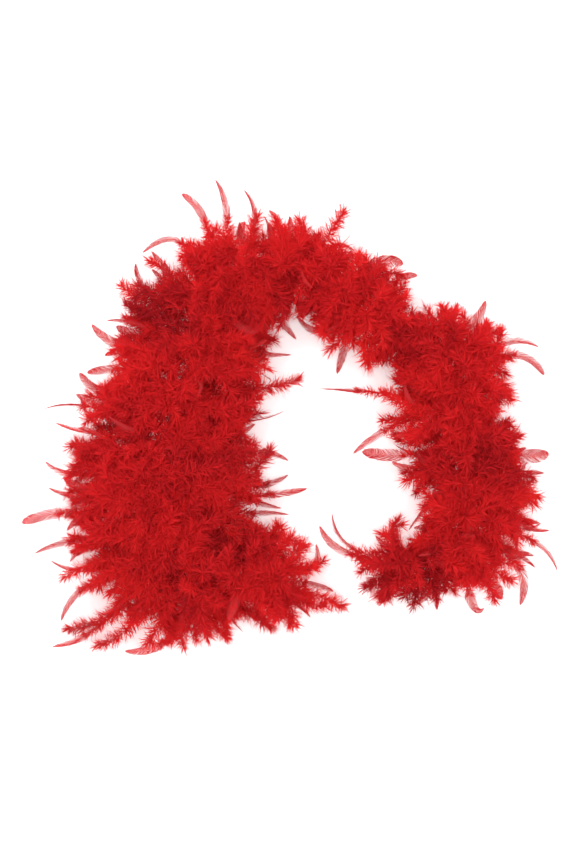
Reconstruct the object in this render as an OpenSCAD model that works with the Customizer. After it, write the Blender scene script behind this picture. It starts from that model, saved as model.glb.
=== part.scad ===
// Feather boa, lying on a table in an open horseshoe, ends towards -Y.
// The cord runs from the left end, up the left leg, over the arch and down the right leg.

/* [Cord] */
// Thickness of the twisted core cord
cord_d = 4; // [3:0.5:5]
// Height of the cord above the table, carried by the feathers under it
cord_z = 40; // [36:1:44]
// Length of the thread whipping at each end of the cord
whipping_len = 14; // [8:1:18]
// Thickness of the thread that binds the feathers on
thread_d = 0.8; // [0.5:0.1:1]

/* [Feathers] */
// Distance between one whorl of feathers and the next
whorl_pitch = 12; // [11:0.5:14]
// Whorls that make up one ruff
whorls_per_ruff = 3; // [2:1:4]
// Thickness of one whorl's bunched feathers
whorl_t = 4; // [2:0.5:5]
// Feathers in one whorl
feathers_per_whorl = 9; // [6:1:12]
// How far the topmost feathers rise above the cord
crown_h = 50; // [40:1:54]
// Width of a feather's blunt tip
tip_w = 9; // [6:1:12]

/* [Long feathers] */
// Length of the firm vane at a long feather's tip
vane_len = 52; // [40:1:60]
// Width of that vane
vane_w = 15; // [10:1:18]
// Thickness of that vane
vane_t = 0.8; // [0.6:0.1:1.2]
// Radius of a long feather's quill where it is bound on
quill_r = 0.9; // [0.7:0.1:1.2]

/* [Hidden] */
$fn = 48;

// The cord's route on the table: its middle line, from the left end to the right end.
ROUTE = [
    [-15, -190], [-60, -190], [-105, -184], [-144, -163],
    [-165, -122], [-167, -60], [-157, 4], [-140, 64],
    [-120, 116], [-96, 156], [-56, 182], [-4, 188],
    [46, 173], [92, 136], [138, 102], [182, 82],
    [209, 48], [208, 4], [208, -42], [215, -90],
    [208, -136], [178, -166], [140, -180]
];

// Each stretch of the boa that stays in one piece between two bends: name, first and last
// route point. It bends at the route points that two stretches share.
STRETCHES = [
    ["left_end", 0, 3],
    ["left_leg", 3, 9],
    ["arch", 9, 16],
    ["right_leg", 16, 20],
    ["right_end", 20, 22]
];

// How far each of those bends can close towards the left and towards the right of the way
// along the cord, in degrees.
BEND_SWINGS = [[25, 10], [20, 5], [20, 5], [25, 10]];

// How far the dense feathers reach from the cord, at shares of the way along it.
FULLNESS = [
    [0, 42], [0.08, 66], [0.15, 92], [0.3, 90], [0.4, 74], [0.48, 62], [0.56, 48],
    [0.66, 44], [0.72, 52], [0.78, 68], [0.86, 66], [0.92, 58], [1, 34]
];

// Feathers that stand out of the mass: [distance along the cord, side (1 outward, -1 inward),
// lean along the cord in degrees, reach from the cord, height of the tip].
LONG_FEATHERS = [
    [10, 1, -65, 100, 8], [35, 1, -20, 62, 12], [70, 1, 30, 105, 30], [100, 1, 13, 148, 12],
    [118, 1, 10, 160, 8], [155, 1, 15, 135, 30], [170, 1, 5, 158, 16], [195, 1, 0, 164, 34],
    [205, -1, 5, 186, 10], [220, 1, 0, 132, 14], [245, 1, 0, 135, 30], [255, -1, 10, 156, 24],
    [280, 1, 0, 130, 14], [300, 1, 0, 146, 34], [312, -1, 15, 150, 14], [335, 1, 0, 114, 20],
    [350, -1, 20, 158, 28], [380, 1, 5, 116, 38], [390, -1, 20, 136, 12], [428, 1, 5, 106, 14],
    [455, 1, 10, 100, 40], [488, 1, 15, 126, 20], [500, 1, 25, 128, 36], [530, 1, 10, 100, 44],
    [570, 1, 5, 66, 24], [604, -1, 5, 66, 20], [640, 1, -30, 70, 36], [675, -1, 25, 88, 14],
    [705, 1, -5, 80, 40], [735, 1, 0, 80, 20], [775, 1, 15, 70, 30], [796, 1, 0, 88, 44],
    [820, 1, 20, 108, 30], [850, 1, 0, 110, 14], [885, -1, 0, 92, 14], [905, -1, 5, 88, 28],
    [920, 1, 5, 112, 36], [955, 1, 25, 104, 20], [980, 1, 20, 112, 38], [1004, 1, 20, 134, 36],
    [1040, 1, -5, 122, 8], [1060, 1, 35, 70, 30], [1060, -1, 50, 120, 36],
    [1080, -1, 55, 110, 32], [1080, 1, 60, 74, 36]
];

bore_d = cord_d + 0.1;
// A whorl's solid middle, out of which its feathers fan.
hub_r = 15;
// A whorl's least reach, beside a bend that closes.
least_reach = 11;
// Every third feather of a whorl is this much shorter than the others.
short_share = 0.88;
// How far from the cord a feather is widest, and how wide, as shares of its reach and its room.
belly_at = 0.62;
belly_half = 0.34;
// The lowest feathers would reach this far below the table, so each whorl is cut flat on it.
table_cut = 5;
// What stays free between the whorls of two stretches when a bend has closed.
stretch_room = 3;
// The share of a curve's radius that the feathers on its inside may fill.
inside_share = 0.6;
// Where the cord's stretches meet at a bend, and where a whipping ends before the knot.
bend_gap = 1.5;
free_gap = 4;
// The cord's length without whorls at its two ends, and on each side of a bend.
end_room = whipping_len + 8;
bend_room = 11;
knot_r = 5;
knot_share = 0.6;
whipping_t = 0.9;
whipping_belly = 0.6;
whipping_fit = 0.05;
cord_sides = 8;
cord_ring_pitch = 15;

// A smooth curve through the route's points.
steps = 12;
last_point = len(ROUTE) - 1;
function route_point(i) =
    i < 0 ? 2 * ROUTE[0] - ROUTE[1] :
    i > last_point ? 2 * ROUTE[last_point] - ROUTE[last_point - 1] :
    ROUTE[i];
function smooth_point(a, b, c, d, t) =
    b + (c - a) * t / 2 + (2 * a - 5 * b + 4 * c - d) * t * t / 2
        + (3 * b - a - 3 * c + d) * t * t * t / 2;
LINE = [
    for (i = [0:last_point - 1], j = [0:steps - 1])
        smooth_point(route_point(i - 1), ROUTE[i], ROUTE[i + 1], route_point(i + 2), j / steps),
    ROUTE[last_point]
];
function length_to(i) = i == 0 ? 0 : length_to(i - 1) + norm(LINE[i] - LINE[i - 1]);
WAY = [for (i = [0:len(LINE) - 1]) length_to(i)];
cord_len = WAY[len(WAY) - 1];
LINE_X = [for (i = [0:len(LINE) - 1]) [WAY[i], LINE[i].x]];
LINE_Y = [for (i = [0:len(LINE) - 1]) [WAY[i], LINE[i].y]];

// Place, heading and bend of the cord at a distance along it. A bend to the left is positive.
function place(way) = [lookup(way, LINE_X), lookup(way, LINE_Y), cord_z];
function turned(angle) = angle > 180 ? angle - 360 : angle < -180 ? angle + 360 : angle;
function heading(way) =
    let (ahead = place(way + 3), behind = place(way - 3))
    atan2(ahead.y - behind.y, ahead.x - behind.x);
function bend(way) = turned(heading(way + 12) - heading(way - 12)) * PI / 180 / 24;

function stretch_start(k) = WAY[STRETCHES[k][1] * steps];
function stretch_end(k) = WAY[STRETCHES[k][2] * steps];

// Where the whorls of a stretch sit: evenly spread, clear of the whipped ends and of the bends.
function first_whorl(k) = stretch_start(k) + (k == 0 ? end_room : bend_room);
function last_whorl(k) = stretch_end(k) - (k == len(STRETCHES) - 1 ? end_room : bend_room);
function ruffs_in(k) = round((last_whorl(k) - first_whorl(k) + whorl_pitch) / whorl_pitch / whorls_per_ruff);
function whorls_in(k) = ruffs_in(k) * whorls_per_ruff;
function whorl_way(k, i) = first_whorl(k) + (last_whorl(k) - first_whorl(k)) * i / (whorls_in(k) - 1);

// The widest that any whorl spreads.
spread_max = 200;

// How far a whorl may reach sideways, to the left (side 1) or the right (side -1) of the cord,
// before it meets the next whorl on the inside of a curve, or the stretch beyond a bend that closes.
function bend_reach(way, side, j) =
    let (
        way_j = WAY[STRETCHES[j][2] * steps],
        apart = 2 * abs(way - way_j),
        swing = BEND_SWINGS[j][side > 0 ? 0 : 1] * PI / 180,
        closing = side * bend(way_j) * apart + swing
    )
    closing <= 0 ? spread_max : max(least_reach, (apart - whorl_t - stretch_room) / closing);
function side_reach(way, side) =
    let (curve = max(0.001, side * bend(way)))
    min(spread_max, inside_share / curve, min([for (j = [0:len(STRETCHES) - 2]) bend_reach(way, side, j)]));

// Outline of a whorl, seen along the cord: x to the left of the cord, y up. Its feathers are
// shorter where they lie on the table or droop over the top.
function free_reach(way, angle) =
    let (
        wide = lookup(way / cord_len, FULLNESS),
        high = sin(angle) > 0 ? min(wide, crown_h) : cord_z + table_cut
    )
    1 / sqrt(pow(cos(angle) / wide, 2) + pow(sin(angle) / high, 2));
function whorl_outline(way, phase) = [
    for (f = [0:feathers_per_whorl - 1])
        let (
            step = 360 / feathers_per_whorl,
            middle = -90 + phase + f * step,
            reach = free_reach(way, middle) * (f % 3 == 1 ? short_share : 1),
            half_tip = atan(tip_w / 2 / reach)
        )
        for (spot = [[-step / 2, hub_r], [-step * belly_half, reach * belly_at], [-half_tip, reach],
            [half_tip, reach], [step * belly_half, reach * belly_at]])
            spot[1] * [cos(middle + spot[0]), sin(middle + spot[0])]
];

// Puts a shape on the cord: its z along the cord, its x to the left and its y up.
module on_cord(way) {
    translate(place(way)) rotate([0, 0, heading(way)]) rotate([90, 0, 90]) children();
}

// A whorl is cut off where it meets the table, and where it would crowd inside a curve.
module whorl(way, phase) {
    left = side_reach(way, 1);
    right = side_reach(way, -1);
    on_cord(way)
        difference() {
            intersection() {
                linear_extrude(whorl_t, center = true) polygon(whorl_outline(way, phase));
                translate([-right, -cord_z, -whorl_t])
                    cube([left + right, cord_z + 2 * crown_h, 2 * whorl_t]);
            }
            cylinder(h = 2 * whorl_t, d = bore_d, center = true);
        }
}

// One ruff: a few whorls, each turned half a feather against the one before.
module ruff(k, n) {
    color("crimson")
        for (i = [n * whorls_per_ruff:(n + 1) * whorls_per_ruff - 1])
            whorl(whorl_way(k, i), (i % 2) * 180 / feathers_per_whorl);
}

// A long feather along +X: a quill and the firm vane at its tip.
module long_feather(length) {
    rotate([0, 90, 0])
        cylinder(h = length - vane_len / 2, r1 = quill_r, r2 = quill_r / 2, $fn = 16);
    lens_r = (vane_len * vane_len + vane_w * vane_w) / (4 * vane_w);
    translate([length - vane_len / 2, 0, 0])
        linear_extrude(vane_t, center = true)
            intersection_for (side = [-1, 1])
                translate([0, side * (lens_r - vane_w / 2)]) circle(lens_r, $fn = 96);
}

// Each long feather is bound on between two whorls.
module long_feathers(k) {
    color("firebrick")
        for (feather = LONG_FEATHERS)
            if (feather[0] > stretch_start(k) && feather[0] < stretch_end(k)) {
                pitch = (last_whorl(k) - first_whorl(k)) / (whorls_in(k) - 1);
                gap = max(0, min(whorls_in(k) - 2, floor((feather[0] - first_whorl(k)) / pitch)));
                way = first_whorl(k) + (gap + 0.5) * pitch;
                start = cord_d / 2 + 1;
                drop = feather[4] - cord_z;
                translate(place(way))
                    rotate([0, 0, heading(way) + feather[1] * (90 - feather[2])])
                        rotate([0, -atan(drop / feather[3]), 0])
                            translate([start, 0, 0]) long_feather(norm([feather[3], drop]) - start);
            }
}

// The cord of one stretch: a tube swept along the route.
module core_cord(k) {
    from = stretch_start(k) + (k == 0 ? 0 : bend_gap);
    to = stretch_end(k) - (k == len(STRETCHES) - 1 ? 0 : bend_gap);
    rings = ceil((to - from) / cord_ring_pitch);
    points = [
        for (i = [0:rings], j = [0:cord_sides - 1])
            let (
                way = from + (to - from) * i / rings,
                angle = (j + 0.5) * 360 / cord_sides,
                left = [-sin(heading(way)), cos(heading(way)), 0]
            )
            place(way) + cord_d / 2 * (cos(angle) * left + [0, 0, sin(angle)])
    ];
    sides = [
        for (i = [0:rings - 1], j = [0:cord_sides - 1])
            let (a = i * cord_sides + j, b = i * cord_sides + (j + 1) % cord_sides)
            [a, a + cord_sides, b + cord_sides, b]
    ];
    first_cap = [for (j = [0:cord_sides - 1]) j];
    last_cap = [for (j = [cord_sides - 1:-1:0]) rings * cord_sides + j];
    color("maroon") polyhedron(points, concat(sides, [first_cap, last_cap]));
}

// The binding thread: a turn round the cord in each gap between two whorls.
module binding_thread(k) {
    color("darkred")
        for (i = [0:whorls_in(k) - 2])
            on_cord((whorl_way(k, i) + whorl_way(k, i + 1)) / 2)
                rotate_extrude($fn = 24)
                    translate([cord_d / 2 + thread_d / 2 + quill_r, 0]) circle(d = thread_d, $fn = 16);
}

// The close winding at an end of the cord, a barrel that its turns make together.
module whipping(way) {
    color("darkred")
        on_cord(way)
            rotate_extrude()
                translate([cord_d / 2 + whipping_fit, 0])
                    polygon([
                        [0, -whipping_len / 2], [whipping_t, -whipping_len / 2],
                        [whipping_t + whipping_belly, 0],
                        [whipping_t, whipping_len / 2], [0, whipping_len / 2]
                    ]);
}

// The knot that closes an end of the cord, flat where it meets the cord's end.
module end_knot(way, outward) {
    color("maroon")
        on_cord(way)
            intersection() {
                translate([0, 0, outward * knot_r * knot_share]) sphere(knot_r);
                translate([0, 0, outward * knot_r]) cube(2 * knot_r, center = true);
            }
}

SIDES = ["left", "right"];
RUFFS = [
    for (k = [0:len(STRETCHES) - 1], n = [0:ruffs_in(k) - 1])
        [str(STRETCHES[k][0], "_ruff_", n + 1), k, n]
];

for (k = [0:len(STRETCHES) - 1]) {
    core_cord(k);
    binding_thread(k);
    long_feathers(k);
}
for (ruff = RUFFS)
    ruff(ruff[1], ruff[2]);
whipping(free_gap + whipping_len / 2);  // whipping_left
whipping(cord_len - free_gap - whipping_len / 2);  // whipping_right
end_knot(0, -1);  // end_knot_left
end_knot(cord_len, 1);  // end_knot_right
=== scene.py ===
"""A red feather boa lying in an open horseshoe on a pale table, seen from straight above.

Every feather is real geometry: a quill, downy barbs along it and, on the firm ones, a vane at the
tip, made of barbs side by side. The feathers bound on along one CAD ruff make one piece.
"""

import math

import bpy
import numpy as np
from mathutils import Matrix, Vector


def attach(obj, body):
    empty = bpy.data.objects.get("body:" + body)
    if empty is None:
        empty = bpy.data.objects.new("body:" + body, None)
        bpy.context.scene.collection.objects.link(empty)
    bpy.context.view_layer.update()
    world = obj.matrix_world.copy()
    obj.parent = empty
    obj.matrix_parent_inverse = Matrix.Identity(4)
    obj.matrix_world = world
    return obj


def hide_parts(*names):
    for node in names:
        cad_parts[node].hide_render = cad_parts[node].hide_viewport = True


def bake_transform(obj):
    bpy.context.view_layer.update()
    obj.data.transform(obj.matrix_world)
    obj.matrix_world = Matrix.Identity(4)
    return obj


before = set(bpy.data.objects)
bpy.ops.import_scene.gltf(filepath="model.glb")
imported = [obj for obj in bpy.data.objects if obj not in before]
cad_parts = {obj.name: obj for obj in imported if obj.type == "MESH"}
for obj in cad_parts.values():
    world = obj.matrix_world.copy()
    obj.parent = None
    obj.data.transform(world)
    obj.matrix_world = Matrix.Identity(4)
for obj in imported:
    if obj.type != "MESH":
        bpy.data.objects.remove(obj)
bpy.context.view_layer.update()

# ---------------------------------------------------------------- camera

LENS_MM = 85.0
SENSOR_MM = 36.0
VIEW_HEIGHT = 1.063
VIEW_CENTRE = (-0.002, -0.0135, 0.04)


def make_camera():
    """Looks straight down, with +Y up in the picture."""
    data = bpy.data.cameras.new("camera")
    data.lens = LENS_MM
    data.sensor_width = SENSOR_MM
    data.sensor_fit = "VERTICAL"
    data.sensor_height = SENSOR_MM
    data.clip_end = 20.0
    camera = bpy.data.objects.new("camera", data)
    bpy.context.scene.collection.objects.link(camera)
    above = VIEW_HEIGHT * LENS_MM / SENSOR_MM
    camera.location = (VIEW_CENTRE[0], VIEW_CENTRE[1], VIEW_CENTRE[2] + above)
    bpy.context.scene.camera = camera


make_camera()

# ---------------------------------------------------------------- the cord's route

CORD_HEIGHT = 0.040
CORD_DIAMETER = 0.004
# The feathers are bound on this far from the cord's middle.
ROOT_OFFSET = CORD_DIAMETER * 0.7
# The same points as in the CAD model, from the left end to the right end.
ROUTE = np.array([
    (-0.015, -0.190), (-0.060, -0.190), (-0.105, -0.184), (-0.144, -0.163),
    (-0.165, -0.122), (-0.167, -0.060), (-0.157, 0.004), (-0.140, 0.064),
    (-0.120, 0.116), (-0.096, 0.156), (-0.056, 0.182), (-0.004, 0.188),
    (0.046, 0.173), (0.092, 0.136), (0.138, 0.102), (0.182, 0.082),
    (0.209, 0.048), (0.208, 0.004), (0.208, -0.042), (0.215, -0.090),
    (0.208, -0.136), (0.178, -0.166), (0.140, -0.180),
])
# Each stretch of the boa between two bends: name, first and last route point.
STRETCHES = [
    ("left_end", 0, 3), ("left_leg", 3, 9), ("arch", 9, 16), ("right_leg", 16, 20), ("right_end", 20, 22),
]
ROUTE_STEPS = 12


def smooth_line(points, steps):
    """A Catmull-Rom curve through the points."""
    ends = np.vstack([2 * points[0] - points[1], points, 2 * points[-1] - points[-2]])
    line = []
    for a, b, c, d in zip(ends, ends[1:], ends[2:], ends[3:]):
        for t in np.arange(steps) / steps:
            line.append(b + (c - a) * t / 2 + (2 * a - 5 * b + 4 * c - d) * t**2 / 2
                        + (3 * b - a - 3 * c + d) * t**3 / 2)
    return np.array(line + [points[-1]])


LINE = smooth_line(ROUTE, ROUTE_STEPS)
WAY = np.concatenate([[0.0], np.cumsum(np.linalg.norm(np.diff(LINE, axis=0), axis=1))])
CORD_LENGTH = WAY[-1]
UP = np.array([0.0, 0.0, 1.0])


def unit(v):
    """The vectors, each at length 1."""
    return v / np.maximum(np.linalg.norm(v, axis=-1, keepdims=True), 1e-9)


def place(way):
    """The cord's middle at distances along it. Past an end it runs straight on."""
    way = np.asarray(way, float)
    inside = np.clip(way, 0, CORD_LENGTH)
    xy = np.stack([np.interp(inside, WAY, LINE[:, 0]), np.interp(inside, WAY, LINE[:, 1])], -1)
    over = (way - inside)[..., None]
    xy = xy + np.where(over > 0, unit(LINE[-1] - LINE[-2]), unit(LINE[1] - LINE[0])) * over
    return np.concatenate([xy, np.full(xy.shape[:-1] + (1,), CORD_HEIGHT)], -1)


def tangent(way):
    """The cord's heading at distances along it."""
    return unit(place(np.asarray(way) + 0.003) - place(np.asarray(way) - 0.003))


def left_of(along):
    """The level direction to the left of a level heading."""
    return np.stack([-along[..., 1], along[..., 0], np.zeros(along.shape[:-1])], -1)


NAMES = [name for name, first, last in STRETCHES]
STARTS = {name: WAY[first * ROUTE_STEPS] for name, first, last in STRETCHES}
ENDS = {name: WAY[last * ROUTE_STEPS] for name, first, last in STRETCHES}
BENDS = [ENDS[name] for name in NAMES[:-1]]
BEND_SPAN = 0.050


def bend_at(piece):
    """Bakes the piece's place into its mesh. It does not bend the piece."""
    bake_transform(piece)


# ---------------------------------------------------------------- mesh building


class Geometry:
    """Collects quads for one object, with a material index, a tone and a normal for each.

    Its heart is the place that the feathers now being made puff out from.
    """

    def __init__(self):
        self.points, self.quads, self.slots, self.tones, self.normals, self.count = [], [], [], [], [], 0
        self.heart = np.zeros(3)

    def add(self, points, quads, slot, tones, normals):
        self.points.append(points)
        self.quads.append(quads + self.count)
        self.slots.append(np.full(len(quads), slot, np.int32))
        self.tones.append(tones)
        self.normals.append(normals)
        self.count += len(points)

    def away(self, points):
        """Which way the mass faces at these points. It is wider than it is high."""
        return unit((points - self.heart) * [1, 1, LOFT])

    def object(self, name, materials):
        points = np.concatenate(self.points).astype(np.float32)
        quads = np.concatenate(self.quads).astype(np.int32)
        mesh = bpy.data.meshes.new(name)
        mesh.vertices.add(len(points))
        mesh.vertices.foreach_set("co", points.ravel())
        mesh.loops.add(4 * len(quads))
        mesh.loops.foreach_set("vertex_index", quads.ravel())
        mesh.polygons.add(len(quads))
        mesh.polygons.foreach_set("loop_start", np.arange(0, 4 * len(quads), 4, dtype=np.int32))
        mesh.polygons.foreach_set("material_index", np.concatenate(self.slots))
        mesh.polygons.foreach_set("use_smooth", np.ones(len(quads), bool))
        tone = mesh.attributes.new("tone", "FLOAT", "POINT")
        tone.data.foreach_set("value", np.concatenate(self.tones).astype(np.float32))
        normal = mesh.attributes.new("custom_normal", "FLOAT_VECTOR", "POINT")
        normal.data.foreach_set("vector", np.concatenate(self.normals).astype(np.float32).ravel())
        mesh.update()
        for material in materials:
            mesh.materials.append(material)
        made = bpy.data.objects.new(name, mesh)
        bpy.context.scene.collection.objects.link(made)
        return made


def strips(geometry, points, slot, tones, softness):
    """Strips of quads from points[strip, step, edge], with a tone for each strip and step.

    They face out of the mass. Softness is how far they are shaded as parts of its soft surface.
    """
    n, steps = points.shape[:2]
    own = unit(np.cross(points[:, :, 1] - points[:, :, 0], np.gradient(points.mean(2), axis=1)))
    away = geometry.away(points.mean(2))
    inward = (own * away).sum((1, 2)) < 0
    points = np.where(inward[:, None, None, None], points[:, :, ::-1], points)
    own = np.where(inward[:, None, None], -own, own)
    normals = unit(own * (1 - softness) + away * softness)
    first = (np.arange(n) * 2 * steps)[:, None] + np.arange(steps - 1)[None] * 2
    quads = np.stack([first, first + 1, first + 3, first + 2], -1).reshape(-1, 4)
    geometry.add(points.reshape(-1, 3), quads, slot, np.repeat(tones, 2, axis=1).ravel(),
                 np.repeat(normals, 2, axis=1).reshape(-1, 3))


# How much more the mass faces up than sideways, and how far down and vanes are shaded as its surface.
LOFT = 3.0
DOWN_SOFTNESS = 0.72
VANE_SOFTNESS = 0.25
# How wide a hair is at shares of its length: fluffy for most of it, and fine at the tip.
HAIR_SHARES = [0.0, 0.35, 0.70, 1.0]
HAIR_WIDTHS = [0.6, 1.0, 0.75, 0.12]


def hairs(geometry, roots, start, end, length, width, facing, segments, slot, tones):
    """A narrow strip for each root: it sets off along start and ends up heading along end."""
    t = np.linspace(0, 1, segments + 1)[None, :, None]
    run = start[:, None] * (t - t**2 / 2) + end[:, None] * t**2 / 2
    spine = roots[:, None] + length[:, None, None] * run
    along = unit(start[:, None] * (1 - t) + end[:, None] * t)
    across = unit(np.cross(along, facing[:, None])) * width[:, None, None] / 2
    across = across * np.interp(t, HAIR_SHARES, HAIR_WIDTHS)
    strips(geometry, np.stack([spine - across, spine + across], 2), slot,
           tones[:, None] + 0.16 * (t[..., 0] - 0.5), DOWN_SOFTNESS)


def tube(geometry, spine, radius, sides, slot, tone):
    """A round bar along a line of points."""
    heading = unit(np.gradient(spine, axis=0))
    steep = np.abs(heading[:, 2:]) > 0.9
    across = unit(np.cross(heading, np.where(steep, [[1.0, 0, 0]], [[0, 0, 1.0]])))
    up = np.cross(across, heading)
    angle = np.arange(sides) * 2 * math.pi / sides
    ring = np.cos(angle)[None, :, None] * across[:, None] + np.sin(angle)[None, :, None] * up[:, None]
    points = (spine[:, None] + ring * np.reshape(radius, (-1, 1, 1))).reshape(-1, 3)
    i = np.arange(len(spine) - 1)[:, None] * sides
    j = np.arange(sides)[None]
    k = (j + 1) % sides
    quads = np.stack([i + j, i + sides + j, i + sides + k, i + k], -1).reshape(-1, 4)
    normals = np.broadcast_to(ring, (len(spine), sides, 3)).reshape(-1, 3)
    geometry.add(points, quads, slot, np.full(len(points), tone), normals)


# ---------------------------------------------------------------- materials


def nodes_of(name):
    """A new material and its empty node tree."""
    material = bpy.data.materials.new(name)
    material.use_nodes = True
    tree = material.node_tree
    tree.nodes.clear()
    return material, tree


def shaded(tree, kind, **values):
    """A new node with the values of its sockets. An underscore stands for a space in their names."""
    node = tree.nodes.new(kind)
    for key, value in values.items():
        node.inputs[key.replace("_", " ")].default_value = value
    return node


def added(tree, one, other, factor):
    """one + (other - 0.5) * factor"""
    scaled = tree.nodes.new("ShaderNodeMath")
    scaled.operation = "MULTIPLY_ADD"
    scaled.inputs[1].default_value = factor
    scaled.inputs[2].default_value = -factor / 2
    tree.links.new(other, scaled.inputs[0])
    total = tree.nodes.new("ShaderNodeMath")
    total.operation = "ADD"
    tree.links.new(one, total.inputs[0])
    tree.links.new(scaled.outputs[0], total.inputs[1])
    return total.outputs[0]


def toned_colour(tree, stops, fine):
    """A ramp over the barb's own tone, with soft clouds of lighter and darker tone and a fine grain."""
    tone = tree.nodes.new("ShaderNodeAttribute")
    tone.attribute_name = "tone"
    where = tree.nodes.new("ShaderNodeTexCoord")
    total = tone.outputs["Fac"]
    for scale, share in ((CLOUD_SCALE, 0.35), (fine, 0.25)):
        noise = shaded(tree, "ShaderNodeTexNoise", Scale=scale, Detail=2.0)
        tree.links.new(where.outputs["Object"], noise.inputs["Vector"])
        total = added(tree, total, noise.outputs["Fac"], share)
    ramp = tree.nodes.new("ShaderNodeValToRGB")
    ramp.color_ramp.elements[0].color = (*stops[0], 1)
    ramp.color_ramp.elements[1].color = (*stops[-1], 1)
    for i, stop in enumerate(stops[1:-1], 1):
        ramp.color_ramp.elements.new(i / (len(stops) - 1)).color = (*stop, 1)
    tree.links.new(total, ramp.inputs["Fac"])
    return ramp.outputs["Color"]


def fibre_material(name, stops, fine, roughness, sheen, through):
    """A dyed fibre surface. A share of the light goes through it, as it does through thin barbs."""
    material, tree = nodes_of(name)
    colour = toned_colour(tree, stops, fine)
    surface = shaded(tree, "ShaderNodeBsdfPrincipled", Roughness=roughness, Sheen_Weight=sheen,
                     Sheen_Roughness=0.5, Specular_IOR_Level=0.25)
    tree.links.new(colour, surface.inputs["Base Color"])
    if through:
        behind = tree.nodes.new("ShaderNodeBsdfTranslucent")
        tree.links.new(colour, behind.inputs["Color"])
        mix = shaded(tree, "ShaderNodeMixShader", Fac=through)
        tree.links.new(surface.outputs[0], mix.inputs[1])
        tree.links.new(behind.outputs[0], mix.inputs[2])
        surface = mix
    out = tree.nodes.new("ShaderNodeOutputMaterial")
    tree.links.new(surface.outputs[0], out.inputs["Surface"])
    return material


CLOUD_SCALE = 22.0
BLACK_RED = (0.02, 0.001, 0.002)
WINE_RED = (0.06, 0.002, 0.004)
DARK_RED = (0.10, 0.002, 0.005)
DEEP_RED = (0.56, 0.008, 0.016)
RED = (0.88, 0.018, 0.024)
DUSKY_RED = (0.56, 0.026, 0.030)
BRIGHT_RED = (0.95, 0.026, 0.026)
PALE_RED = (0.97, 0.090, 0.075)

DOWN = fibre_material("down", [DEEP_RED, RED, BRIGHT_RED], 900.0, 0.85, 0.2, 0.45)
VANE = fibre_material("vane", [DEEP_RED, DUSKY_RED, RED], 1200.0, 0.5, 0.1, 0.3)
QUILL = fibre_material("quill", [DEEP_RED, RED, PALE_RED], 300.0, 0.35, 0.0, 0.2)
CORD = fibre_material("cord", [DARK_RED, DEEP_RED, RED], 1500.0, 0.8, 0.2, 0.0)
THREAD = fibre_material("thread", [BLACK_RED, WINE_RED, DARK_RED], 2500.0, 0.6, 0.1, 0.0)
FEATHER_MATERIALS = [DOWN, VANE, QUILL]
DOWN_SLOT, VANE_SLOT, QUILL_SLOT = range(3)

# ---------------------------------------------------------------- one feather

FLOOR_GAP = 0.0006
FLOOR_PILE = 0.0012
QUILL_RADIUS = 0.0006
QUILL_TIP_RADIUS = QUILL_RADIUS * 0.35
QUILL_RINGS = 11
QUILL_SIDES = 3
DOWN_PER_METRE = 4600
BARB_WIDTHS = 0.0006, 0.0013
PLUME_FULLNESS = 1.25
# Some barbs are bare and fine, and reach past the others as a fringe.
FRINGE_SHARE = 0.22
FRINGE_LENGTH = 1.25
FRINGE_WIDTH = 0.0003
# How far the down goes on past a vane's base, as a share of the feather's length.
DOWN_ON_VANE = 0.10
# Degrees between a barb and its quill: at the base, how much less at the tip, how much less in a
# plume's last fan, and the spread.
BARB_ANGLE, BARB_CLOSING, FAN_CLOSING, BARB_SPREAD = 74, 14, 24, 24
BARB_CURL = 0.24
BARB_SWEEP = 0.22
BARB_LENGTHS = 0.5, 1.2
BARB_SEGMENTS = 3
TONE_SPREAD = 0.12
VANE_BARBS = 46
BARB_LEAD = 0.24
SPLITS = 3
EDGE_ROUGHNESS = 0.16
EDGE_DARKNESS = 0.7
SHINGLE = 0.0004


def bezier(p, t):
    """Points of a Bezier curve at shares t of its run."""
    t = t[:, None]
    return (1 - t)**3 * p[0] + 3 * (1 - t)**2 * t * p[1] + 3 * (1 - t) * t**2 * p[2] + t**3 * p[3]


def quill_line(control, normal, roll, twist):
    """A function that gives place, heading, side and face of the quill at shares of its length."""
    spine = bezier(np.array(control), np.linspace(0, 1, 25))
    spine[:, 2] = np.maximum(spine[:, 2], FLOOR_GAP * 3)
    steps = np.linalg.norm(np.diff(spine, axis=0), axis=1)
    share = np.concatenate([[0], np.cumsum(steps)]) / steps.sum()
    heading = unit(np.gradient(spine, axis=0))
    side = unit(np.cross(heading, normal))
    face = np.cross(side, heading)
    turn = (roll + twist * share)[:, None]
    side, face = side * np.cos(turn) + face * np.sin(turn), face * np.cos(turn) - side * np.sin(turn)
    table = np.hstack([spine, heading, side, face])

    def at(w):
        rows = np.stack([np.interp(w, share, column) for column in table.T], -1)
        return np.split(rows, 4, axis=-1)

    return at, steps.sum()


def vane_half(share, bluntness):
    """Half the vane's width, as a share of its greatest, along the vane from its base to its tip."""
    rise = np.clip(share / 0.28, 0, 1)**0.6
    fall = np.clip((share - 0.35) / 0.65, 0, 1)
    return rise * (1 - fall**bluntness)**0.6


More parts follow.
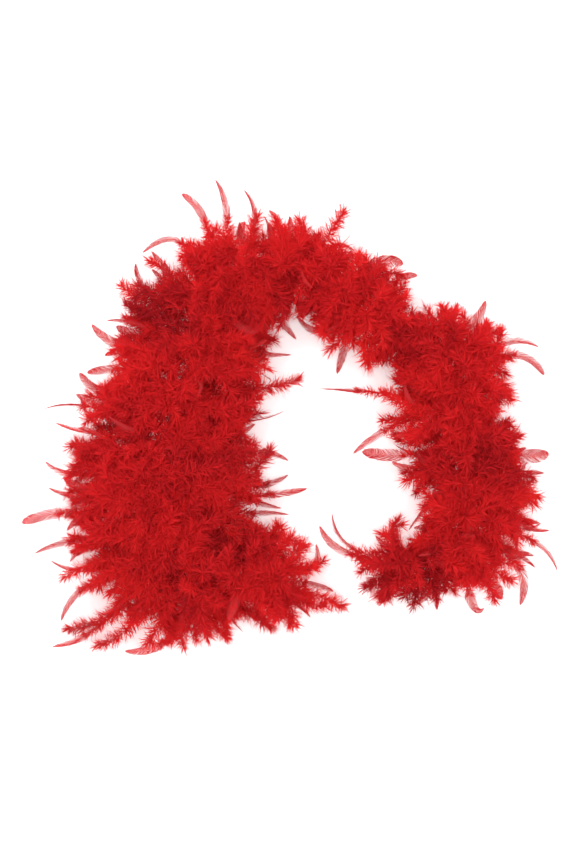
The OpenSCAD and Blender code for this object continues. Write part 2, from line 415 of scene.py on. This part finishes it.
def vane(geometry, rng, at, start, width, bluntness, cup, tone):
    """The firm flat part at a feather's tip: barbs side by side that end on its outline."""
    s = np.linspace(0, 1, 4)[None, :, None, None]
    for sign in (-1, 1):
        root = np.linspace(0, 1, VANE_BARBS, endpoint=False)
        edges = np.stack([root, root + (0.60 + 0.28 * root**0.5) / VANE_BARBS], 1)
        split = np.zeros(VANE_BARBS)
        for place_of_split in rng.integers(6, VANE_BARBS, SPLITS):
            split[place_of_split:] += rng.uniform(-0.09, 0.05)
        ends = np.clip(edges + (BARB_LEAD + split)[:, None] * (1 - edges**2), 0, 1)
        rough = 1 - EDGE_ROUGHNESS * rng.random((VANE_BARBS, 1))
        half = (width / 2 * vane_half(ends, bluntness) * rough)[..., None]
        spot, along, side, face = at(start + (1 - start) * edges)
        tip, tip_along, tip_side, tip_face = at(start + (1 - start) * ends)
        shingle = np.array([0.0, SHINGLE])[None, :, None] + SHINGLE / 2 * rng.normal(size=(VANE_BARBS, 1, 1))
        tip = tip + tip_side * sign * half + tip_face * (cup * half + shingle)
        bow = spot * 0.45 + tip * 0.55 + side * sign * half * 0.16
        points = spot[:, None] * (1 - s)**2 + bow[:, None] * 2 * s * (1 - s) + tip[:, None] * s**2
        tones = tone + 0.10 * rng.normal(size=(VANE_BARBS, 1)) - EDGE_DARKNESS * s[..., 0, 0]**4
        strips(geometry, points, VANE_SLOT, tones, VANE_SOFTNESS)


def down(geometry, rng, at, low, high, count, length, tone, club):
    """Loose downy barbs round a quill from low to high. Their last ones fan forward by club."""
    w = np.sort(low + (high - low) * rng.random(count)**0.7)
    share = (w - low) / (high - low)
    spot, along, side, face = at(w)
    round_it = rng.uniform(-math.pi, math.pi, count)[:, None]
    outward = unit(side * np.cos(round_it) + face * np.sin(round_it) * 0.75)
    angle = BARB_ANGLE - BARB_CLOSING * share - FAN_CLOSING * club * share**8
    forward = np.radians(rng.normal(angle, BARB_SPREAD))[:, None]
    start = unit(along * np.cos(forward) + outward * np.sin(forward))
    end = unit(start + rng.normal(0, BARB_CURL, (count, 3)) + along * BARB_SWEEP)
    size = length * (0.80 + 0.20 * np.sin(np.pi * share) + 0.10 * club * share)
    size = size * rng.uniform(*BARB_LENGTHS, count)
    fine = rng.random(count) < FRINGE_SHARE
    size = np.where(fine, size * FRINGE_LENGTH, size)
    width = np.where(fine, FRINGE_WIDTH, rng.uniform(*BARB_WIDTHS, count))
    hairs(geometry, spot, start, end, size, width,
          unit(rng.normal(size=(count, 3))), BARB_SEGMENTS, DOWN_SLOT,
          tone + TONE_SPREAD * rng.normal(size=count))


def feather(geometry, rng, control, normal, shape, width, down_length, tone, roll, twist, vane_length=0.045,
            bare=0.12):
    """One feather along a Bezier curve. Its shape is "plume", all down, or the bluntness of its vane."""
    at, length = quill_line(control, normal, roll, twist)
    spot = at(np.linspace(0, 1, QUILL_RINGS))[0]
    radius = np.linspace(QUILL_RADIUS, QUILL_TIP_RADIUS, QUILL_RINGS)
    tube(geometry, spot, radius, QUILL_SIDES, QUILL_SLOT, tone - 0.1)
    if shape == "plume":
        count = int(DOWN_PER_METRE * PLUME_FULLNESS * length * (1 - bare))
        down(geometry, rng, at, bare, 1.0, count, down_length, tone, 1.0)
        return
    start = max(0.35, 1 - vane_length / length)
    vane(geometry, rng, at, start, width, shape, rng.uniform(-0.35, 0.5), tone + 0.05)
    reach = start + DOWN_ON_VANE
    count = int(DOWN_PER_METRE * length * (reach - bare))
    down(geometry, rng, at, bare, reach, count, down_length * 0.85, tone, 0.0)


# ---------------------------------------------------------------- the dense mass

# How far the feathers reach from the cord, in metres, at shares of the way along it.
OUTER_REACH = np.array([
    (0, 0.050), (0.04, 0.064), (0.08, 0.098), (0.14, 0.122), (0.20, 0.118), (0.27, 0.104), (0.30, 0.078),
    (0.34, 0.088), (0.385, 0.100), (0.41, 0.062), (0.45, 0.072), (0.475, 0.080), (0.50, 0.060), (0.52, 0.066),
    (0.545, 0.058), (0.59, 0.050), (0.61, 0.070), (0.64, 0.054), (0.68, 0.034), (0.72, 0.062), (0.745, 0.096),
    (0.77, 0.058), (0.80, 0.064), (0.835, 0.096), (0.86, 0.082), (0.90, 0.096), (0.925, 0.104), (0.95, 0.064),
    (1, 0.044),
])
INNER_REACH = np.array([
    (0, 0.068), (0.08, 0.076), (0.13, 0.102), (0.18, 0.150), (0.23, 0.148), (0.27, 0.124), (0.34, 0.122),
    (0.37, 0.102), (0.42, 0.098), (0.46, 0.082), (0.50, 0.073), (0.54, 0.052), (0.59, 0.052), (0.61, 0.064),
    (0.66, 0.044), (0.72, 0.050), (0.76, 0.072), (0.80, 0.096), (0.83, 0.090), (0.86, 0.058), (0.90, 0.056),
    (0.95, 0.040), (1, 0.028),
])
# The reach past the left end (1) and the right end (-1), and the length of cord that fans out there.
END_REACH = {1: 0.078, -1: 0.066}
END_FAN = 0.040
# Degrees: the widest angle of the fan, and the spread of the feathers' lean along the cord elsewhere.
FAN_ANGLE = 75
LEAN_SPREAD = 34
# Along its sides the mass swells and narrows.
LOBE_PITCH = 0.047
LOBE_DEPTH = 0.07
SWAY = 0.20
# The mass's height over the cord, the depth under it of the place it puffs out from, and its top.
CROWN = 0.044
HEART_DEPTH = 0.050
TOP = 0.096
TOP_GIVE = 0.2
# One feather in this length of cord, where both sides together reach as far as the usual spread.
FEATHER_PITCH = 0.00088
USUAL_SPREAD = 0.150
END_BONUS = 0.8
# Hollows in the mass, where its feathers part and lie lower, and where their tone is darkened as painted
# shade: x, y, radius, depth.
HOLLOWS = np.array([
    (-0.144, 0.132, 0.030, 0.8), (-0.086, -0.168, 0.026, 0.8), (0.160, -0.188, 0.022, 1.0),
    (-0.160, -0.030, 0.035, 0.4), (0.215, -0.060, 0.030, 0.5), (0.150, 0.085, 0.028, 0.5),
    (0.010, 0.170, 0.030, 0.3),
])


def reach_at(way, side):
    """How far the mass reaches at a place along the cord, on its left side (1) or its right (-1)."""
    table = OUTER_REACH if side > 0 else INNER_REACH
    lobe = 1 + LOBE_DEPTH * math.sin(2 * math.pi * way / LOBE_PITCH + side)
    return lobe * float(np.interp(way / CORD_LENGTH, table[:, 0], table[:, 1]))


def hollow_and_shade_at(spot):
    """How deep in a hollow a place is, from 0 to 1. It lowers the feathers there and darkens them with
    painted shade.
    """
    away = np.hypot(HOLLOWS[:, 0] - spot[0], HOLLOWS[:, 1] - spot[1]) / HOLLOWS[:, 2]
    return float((HOLLOWS[:, 3] * np.exp(-away**2)).max())


def plan_direction(rng, way, side):
    """Which way a feather points on the table, and how far it may reach. It fans out at the ends."""
    along = tangent(way)
    left = left_of(along)
    for end, distance in ((-1, way), (1, CORD_LENGTH - way)):
        if distance < END_FAN * rng.random():
            angle = math.radians(rng.uniform(-FAN_ANGLE, FAN_ANGLE))
            return unit(end * along * math.cos(angle) + left * math.sin(angle)), END_REACH[-end]
    lean = math.radians(rng.normal(0, LEAN_SPREAD))
    return left * side * math.cos(lean) + along * math.sin(lean), reach_at(way, side)


def top_curve(rng, way, out, reach, crown):
    """A feather that rises from the cord and lies down along the top of the mass, any way round."""
    share = rng.uniform(-0.28, 0.94)
    heading = rng.uniform(0, 2 * math.pi)
    lying = np.array([math.cos(heading), math.sin(heading), 0.0]) * rng.uniform(0.010, 0.020)
    middle = place(way) + out * share * reach + tangent(way) * rng.normal(0, 0.008)
    middle[2] = CORD_HEIGHT + crown * math.sqrt(1 - share**2) * rng.uniform(0.5, 1.0) - 0.004
    root = place(way) + out * ROOT_OFFSET
    return [root, root + out * abs(share) * reach * 0.3 + UP * crown * rng.uniform(0.8, 1.2),
            middle - lying + UP * 0.006, middle + lying]


def side_curve(rng, way, out, reach, crown):
    """A feather that reaches the edge of the mass."""
    reach = reach * rng.uniform(0.70, 0.91)
    root = place(way) + out * ROOT_OFFSET
    tip = place(way) + out * reach
    tip[2] = rng.uniform(0.006, 0.054)
    sway = rng.normal(0, SWAY) * reach * left_of(out)
    return [root, root + out * reach * 0.30 + UP * crown * rng.uniform(-0.4, 0.8),
            tip - out * reach * 0.30 + sway + UP * crown * rng.uniform(-0.1, 0.3), tip]


def low_curve(rng, way, out, reach, crown):
    """A feather that is pressed down and spreads on the table."""
    reach = reach * rng.uniform(0.40, 1.0)
    root = place(way) + out * ROOT_OFFSET
    tip = place(way) + out * reach
    tip[2] = rng.uniform(0.002, 0.010)
    sway = rng.normal(0, SWAY) * reach * left_of(out)
    return [root, root + out * reach * 0.30 - UP * 0.018, tip - out * reach * 0.30 + sway, tip]


# What the feathers do by turns, and how many of each kind have a vane.
CURVES = [top_curve, side_curve, top_curve, low_curve, top_curve, side_curve, top_curve, side_curve]
FIRM_SHARE = {top_curve: 0.03, side_curve: 0.24, low_curve: 0.22}

# Feathers with a vane reach this much further.
FIRM_EXTRA = 1.18


def mass_feather(geometry, rng, way, curve):
    """One of the feathers of the dense mass."""
    geometry.heart = place(way) - UP * HEART_DEPTH
    wide = reach_at(way, 1), reach_at(way, -1)
    side = 1 if rng.random() < wide[0] / sum(wide) else -1
    out, reach = plan_direction(rng, way, side)
    hollow = hollow_and_shade_at(place(way) + out * reach * 0.3)
    firm = rng.random() < FIRM_SHARE[curve]
    shape = rng.choice([1.2, 1.4, 2.0, 4.0]) if firm else "plume"
    reach = reach * (FIRM_EXTRA if firm else 1.0)
    control = curve(rng, way, out, reach, min(CROWN, 0.8 * reach) * (1 - 0.8 * hollow))
    # Painted shade: feathers in a hollow get a darker tone.
    tone = 0.55 + 0.13 * rng.normal() - 0.80 * hollow
    feather(geometry, rng, control, unit(UP + rng.normal(0, 0.3, 3)), shape, rng.uniform(0.008, 0.014),
            rng.uniform(0.013, 0.019), tone, rng.normal(0, 0.5), rng.normal(0, 0.6),
            bare=0.30 if curve is top_curve else 0.10)


def settled(geometry):
    """Lays what would sink into the table on it, and presses down what would stand too high."""
    rng = np.random.default_rng(7)
    for points in geometry.points:
        low = FLOOR_GAP + FLOOR_PILE * rng.random(len(points))
        height = points[:, 2]
        height = np.where(height < low, low, height)
        points[:, 2] = np.where(height > TOP, TOP + (height - TOP) * TOP_GIVE, height)


def make_ruffs():
    """The dense feathers, one piece for each CAD ruff."""
    made = 0
    for name in NAMES:
        ruffs = sorted((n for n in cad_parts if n.startswith(name + "_ruff_")),
                       key=lambda n: int(n.rsplit("_", 1)[1]))
        edges = np.linspace(STARTS[name], ENDS[name], len(ruffs) + 1)
        for ruff, low, high in zip(ruffs, edges, edges[1:]):
            geometry = Geometry()
            rng = np.random.default_rng(1000 + made)
            middle = (low + high) / 2
            near_end = min(middle, CORD_LENGTH - middle) < END_FAN
            bushy = (reach_at(middle, 1) + reach_at(middle, -1)) / USUAL_SPREAD + END_BONUS * near_end
            count = round((high - low) / FEATHER_PITCH * (0.4 + 0.6 * bushy))
            for i in range(count):
                way = low + (high - low) * (i + rng.random()) / count
                mass_feather(geometry, rng, way, CURVES[i % len(CURVES)])
            settled(geometry)
            piece = geometry.object(ruff + "_feathers", FEATHER_MATERIALS)
            near = [i for i, bend in enumerate(BENDS) if abs(middle - bend) < BEND_SPAN]
            if near:
                bend_at(piece)
            else:
                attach(piece, name)
            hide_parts(ruff)
            made += 1


# ---------------------------------------------------------------- feathers that stand out of the mass

BLADE, ROUND, SPOON, PLUME = 1.25, 2.2, 5.0, "plume"
# Metres along the cord, side (1 left, -1 right), lean forward in degrees, reach, height of the tip,
# shape, width of the vane, and bow: above 0 it bulges to the right of the way it points.
STANDING = [
    (0.010, 1, -65, 0.100, 0.008, PLUME, 0.012, 0.00), (0.035, 1, -20, 0.062, 0.012, PLUME, 0.012, 0.10),
    (0.070, 1, 30, 0.105, 0.030, PLUME, 0.012, 0.10), (0.070, 1, 44, 0.155, 0.012, ROUND, 0.012, -0.24),
    (0.128, 1, 4, 0.150, 0.010, PLUME, 0.014, -0.16), (0.132, 1, 13, 0.162, 0.014, PLUME, 0.014, -0.16),
    (0.134, 1, 8, 0.192, 0.008, BLADE, 0.014, -0.13), (0.142, 1, 5, 0.162, 0.020, ROUND, 0.009, 0.20),
    (0.155, 1, 19, 0.142, 0.030, BLADE, 0.007, -0.22), (0.170, 1, 8, 0.158, 0.016, BLADE, 0.009, 0.07),
    (0.175, -1, -12, 0.163, 0.012, BLADE, 0.008, -0.06), (0.195, 1, 0, 0.164, 0.034, SPOON, 0.014, 0.08),
    (0.205, -1, 2, 0.190, 0.010, ROUND, 0.014, 0.03), (0.220, 1, 0, 0.132, 0.014, BLADE, 0.009, -0.12),
    (0.245, 1, 0, 0.135, 0.030, ROUND, 0.014, -0.18), (0.280, 1, 0, 0.130, 0.014, BLADE, 0.009, -0.05),
    (0.300, 1, -4, 0.146, 0.034, BLADE, 0.006, 0.12), (0.312, -1, 15, 0.150, 0.014, BLADE, 0.007, 0.12),
    (0.335, 1, 0, 0.114, 0.020, SPOON, 0.014, -0.22), (0.350, -1, 20, 0.158, 0.028, PLUME, 0.010, 0.10),
    (0.380, 1, 5, 0.116, 0.038, ROUND, 0.013, -0.15), (0.390, -1, 20, 0.136, 0.012, BLADE, 0.008, 0.00),
    (0.405, 1, -5, 0.101, 0.030, BLADE, 0.008, 0.10), (0.428, 1, 5, 0.104, 0.014, PLUME, 0.014, -0.05),
    (0.455, 1, 10, 0.086, 0.030, PLUME, 0.012, 0.10), (0.488, 1, -28, 0.104, 0.040, ROUND, 0.008, 0.50),
    (0.488, 1, 16, 0.126, 0.020, SPOON, 0.011, 0.18), (0.500, 1, 25, 0.126, 0.036, BLADE, 0.010, 0.12),
    (0.520, -1, 19, 0.104, 0.030, ROUND, 0.011, 0.00), (0.530, 1, 10, 0.100, 0.044, ROUND, 0.008, 0.20),
    (0.570, 1, 5, 0.066, 0.024, ROUND, 0.013, 0.10), (0.600, 1, 15, 0.088, 0.030, PLUME, 0.012, 0.00),
    (0.615, 1, 32, 0.055, 0.036, ROUND, 0.007, -0.55), (0.650, 1, 26, 0.082, 0.040, SPOON, 0.017, -0.28),
    (0.675, -1, 25, 0.088, 0.014, ROUND, 0.013, 0.00), (0.690, 1, 16, 0.079, 0.020, SPOON, 0.010, -0.22),
    (0.700, -1, -53, 0.094, 0.028, ROUND, 0.011, -0.36), (0.775, 1, 15, 0.070, 0.030, SPOON, 0.018, 0.10),
    (0.796, 1, 0, 0.088, 0.044, ROUND, 0.014, 0.12), (0.820, 1, 20, 0.110, 0.030, ROUND, 0.010, -0.24),
    (0.820, 1, 38, 0.115, 0.014, SPOON, 0.010, -0.33), (0.845, -1, 27, 0.154, 0.020, ROUND, 0.010, 0.05),
    (0.866, -1, 0, 0.174, 0.030, BLADE, 0.014, 0.04), (0.885, -1, 0, 0.092, 0.014, PLUME, 0.012, 0.00),
    (0.918, -1, 0, 0.118, 0.028, SPOON, 0.020, -0.10), (0.920, 1, 5, 0.112, 0.036, SPOON, 0.020, 0.06),
    (0.950, -1, 36, 0.095, 0.030, BLADE, 0.008, 0.05), (0.955, 1, 25, 0.104, 0.020, BLADE, 0.010, 0.05),
    (0.980, 1, 20, 0.112, 0.038, ROUND, 0.011, 0.10), (1.000, 1, 50, 0.136, 0.008, ROUND, 0.013, -0.29),
    (1.004, 1, 20, 0.134, 0.036, BLADE, 0.007, -0.22), (1.010, 1, 48, 0.108, 0.024, SPOON, 0.020, 0.05),
    (1.045, 1, 73, 0.087, 0.015, ROUND, 0.012, -0.20), (1.060, 1, 35, 0.070, 0.030, ROUND, 0.012, 0.05),
    (1.060, 1, 79, 0.077, 0.020, BLADE, 0.008, -0.15), (1.092, -1, 52, 0.125, 0.032, ROUND, 0.011, -0.24),
    (1.095, -1, 41, 0.116, 0.036, ROUND, 0.009, -0.33),
]
STANDING_VANE = 0.064


def standing_feather(geometry, rng, way, side, lean, reach, tip_height, shape, width, bow):
    """A long feather that arcs out of the mass to a tip that stands clear of it."""
    geometry.heart = place(way) - UP * HEART_DEPTH
    along = tangent(way)
    lean = math.radians(lean)
    out = left_of(along) * side * math.cos(lean) + along * math.sin(lean)
    bulge = -left_of(out) * bow * reach
    root = place(way) + out * ROOT_OFFSET
    tip = place(way) + out * reach
    tip[2] = tip_height
    control = [root, root + out * reach * 0.40 + bulge * 0.4 + UP * 0.014,
               tip - out * reach * 0.26 + bulge * 1.1 + UP * 0.010, tip]
    feather(geometry, rng, control, UP, shape, width, 0.016, 0.55 + 0.1 * rng.normal(),
            rng.normal(0, 0.35), rng.normal(0, 0.5), STANDING_VANE)


def make_standing_feathers():
    """The feathers whose tips stand clear of the mass, one piece for each stretch."""
    for k, name in enumerate(NAMES):
        geometry = Geometry()
        rng = np.random.default_rng(50 + k)
        for row in STANDING:
            if STARTS[name] < row[0] <= ENDS[name]:
                standing_feather(geometry, rng, *row)
        settled(geometry)
        piece = geometry.object("standing_feathers_" + name, FEATHER_MATERIALS)
        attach(piece, name)
        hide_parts("long_feathers_" + name)


# ---------------------------------------------------------------- cord, thread, whippings and knots

CORD_STEP = 0.0012
PLIES = 3
PLY_OFFSET = 0.0011
PLY_RADIUS = 0.0011
PLY_TURN = 0.014
THREAD_RADIUS = 0.0004
THREAD_WIND = 0.0031
THREAD_TURN = 0.012
WHIPPING_LENGTH = 0.014
WHIPPING_GAP = 0.004
WHIPPING_OFFSET = 0.0026
WHIPPING_BELLY = 0.0005
WHIPPING_RINGS = 420
KNOT_SIZE = 0.0013
KNOT_CORD_RADIUS = 0.0012
FRAYED_STRANDS = 70


def wound(way, offset, turn, phase):
    """A line wound round the cord at an offset from its middle, once in each turn's length."""
    angle = (2 * math.pi * way / turn + phase)[:, None]
    return place(way) + offset * (left_of(tangent(way)) * np.cos(angle) + UP * np.sin(angle))


def make_cord():
    """The twisted cord and its binding thread, in four lengths that meet in the middle of a stretch."""
    middles = [(STARTS[name] + ENDS[name]) / 2 for name in NAMES[1:-1]]
    cuts = [0.0, *middles, CORD_LENGTH]
    held = [["left_end"], ["left_leg"], ["arch"], ["right_leg", "right_end"]]
    for joint, (low, high) in enumerate(zip(cuts, cuts[1:])):
        way = np.linspace(low, high, round((high - low) / CORD_STEP))
        cord = Geometry()
        for ply in range(PLIES):
            tube(cord, wound(way, PLY_OFFSET, PLY_TURN, ply * 2 * math.pi / PLIES), PLY_RADIUS, 8, 0, 0.5)
        piece = cord.object(f"twisted_cord_{joint + 1}", [CORD])
        bend_at(piece)
        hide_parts(*["core_cord_" + name for name in held[joint]])

        clear = WHIPPING_GAP + WHIPPING_LENGTH
        way = np.linspace(max(low, clear), min(high, CORD_LENGTH - clear), round((high - low) / CORD_STEP))
        thread = Geometry()
        tube(thread, wound(way, THREAD_WIND, THREAD_TURN, 0.0), THREAD_RADIUS, 6, 0, 0.5)
        piece = thread.object(f"thread_winding_{joint + 1}", [THREAD])
        bend_at(piece)
        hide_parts(*["binding_thread_" + name for name in held[joint]])


def make_end(side, body, end, inward):
    """A whipping of close thread turns and the knot behind it, with the cord's frayed strands."""
    rng = np.random.default_rng(90 + inward)
    whipping = Geometry()
    way = end + inward * np.linspace(WHIPPING_GAP, WHIPPING_GAP + WHIPPING_LENGTH, WHIPPING_RINGS)
    belly = WHIPPING_BELLY * np.sin(np.linspace(0, math.pi, WHIPPING_RINGS))[:, None]
    tube(whipping, wound(way, WHIPPING_OFFSET + belly, 2 * THREAD_RADIUS, 0.0), THREAD_RADIUS, 6, 0, 0.5)
    piece = whipping.object("whipping_turns_" + side, [THREAD])
    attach(piece, body)
    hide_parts("whipping_" + side)

    knot = Geometry()
    t = np.linspace(0, 2 * math.pi, 90)
    loops = np.stack([np.sin(t) + 2 * np.sin(2 * t), np.cos(t) - 2 * np.cos(2 * t), -np.sin(3 * t)], -1)
    along = -inward * tangent(end)
    tube(knot, place(end) + along * 0.003 + loops * KNOT_SIZE * [1, 1, 1.2], KNOT_CORD_RADIUS, 8, 0, 0.5)
    count = FRAYED_STRANDS
    ahead = unit(along + rng.normal(0, 0.3, (count, 3)))
    hairs(knot, place(end) + along * 0.005 + rng.normal(0, 0.001, (count, 3)), ahead,
          unit(ahead - UP * 0.6 + rng.normal(0, 0.2, (count, 3))), rng.uniform(0.006, 0.012, count),
          np.full(count, 0.0003), unit(rng.normal(size=(count, 3))), 4, 0, 0.5 + 0.2 * rng.normal(size=count))
    piece = knot.object("cord_knot_" + side, [CORD])
    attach(piece, body)
    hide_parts("end_knot_" + side)


make_cord()
make_end("left", "left_end", 0.0, 1)
make_end("right", "right_end", CORD_LENGTH, -1)
make_ruffs()
make_standing_feathers()

# ---------------------------------------------------------------- stage and light

FLOOR_WHITE = (0.93, 0.93, 0.93, 1)
FLOOR_GLOW = 0.40
SKY_STRENGTH = 1.08
# Name, place, size in metres and power in watts.
LAMPS = [("key", (-1.2, 1.4, 2.2), 1.6, 26), ("fill", (1.6, -0.8, 2.4), 2.0, 12)]


def make_stage():
    """A white table that glows faintly, as a light table does."""
    bpy.ops.mesh.primitive_plane_add(size=12.0, location=(0, 0, 0))
    floor = bpy.context.object
    floor.name = "floor"
    material, tree = nodes_of("floor")
    surface = shaded(tree, "ShaderNodeBsdfPrincipled", Roughness=0.9, Specular_IOR_Level=0.1,
                     Emission_Strength=FLOOR_GLOW)
    surface.inputs["Base Color"].default_value = FLOOR_WHITE
    surface.inputs["Emission Color"].default_value = (1, 1, 1, 1)
    out = tree.nodes.new("ShaderNodeOutputMaterial")
    tree.links.new(surface.outputs[0], out.inputs["Surface"])
    floor.data.materials.append(material)


def make_light():
    """An even white sky and two large soft lamps."""
    scene = bpy.context.scene
    world = bpy.data.worlds.new("studio")
    scene.world = world
    world.use_nodes = True
    world.node_tree.nodes["Background"].inputs["Color"].default_value = (1, 1, 1, 1)
    world.node_tree.nodes["Background"].inputs["Strength"].default_value = SKY_STRENGTH
    for name, spot, size, power in LAMPS:
        data = bpy.data.lights.new(name, "AREA")
        data.shape = "SQUARE"
        data.size = size
        data.energy = power
        lamp = bpy.data.objects.new(name, data)
        scene.collection.objects.link(lamp)
        lamp.location = spot
        lamp.rotation_euler = (-Vector(spot)).to_track_quat("-Z", "Y").to_euler()
    scene.view_settings.view_transform = "Standard"


make_stage()
make_light()
